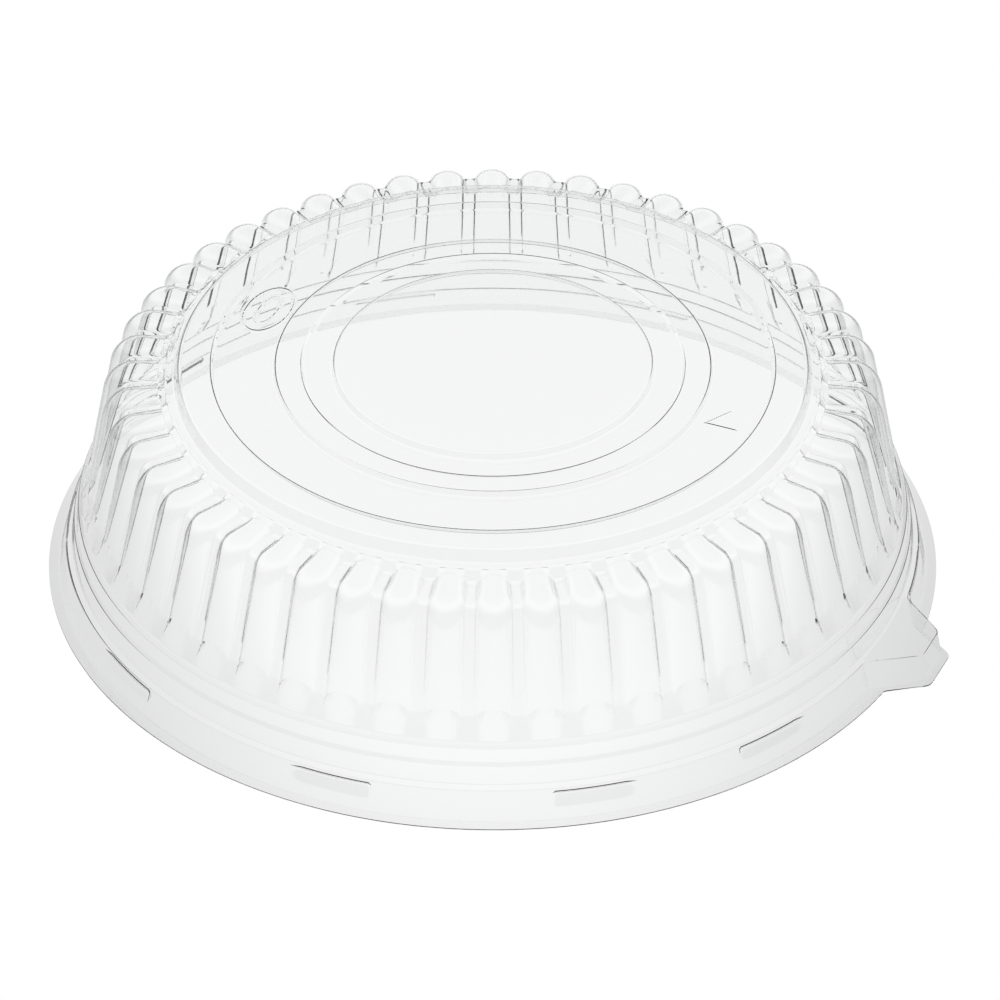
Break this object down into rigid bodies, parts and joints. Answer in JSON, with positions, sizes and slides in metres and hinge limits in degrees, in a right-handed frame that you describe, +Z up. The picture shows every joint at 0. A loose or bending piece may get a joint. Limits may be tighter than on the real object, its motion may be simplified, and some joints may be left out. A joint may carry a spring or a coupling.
{
  "type": "clear dome lid",
  "caption": "Low round dome lid of clear thermoformed plastic with a ribbed wall, stepped stacking deck, a skirt that snaps over a tray and a pull tab.",
  "frame": {"origin": "centre of the rim flange's underside, on the dome's axis", "axes": "+Z up along the dome's axis, -Y the front, the pull tab points to +X turned 22.5 degrees towards the front"},
  "size_m": [0.3136, 0.3099, 0.0859],
  "materials": {
    "clear_sheet": "clear, glossy, see-through thermoformed PET sheet"
  },
  "bodies": {
    "root": {"centre_panel": "clear_sheet", "inner_groove": "clear_sheet", "inner_ridge": "clear_sheet", "outer_groove": "clear_sheet", "stacking_ridge": "clear_sheet", "ribbed_shoulder": "clear_sheet", "ribbed_wall": "clear_sheet", "step_band": "clear_sheet", "snap_skirt": "clear_sheet", "rim_flange": "clear_sheet", "pull_tab": "clear_sheet"}
  },
  "joints": []
}
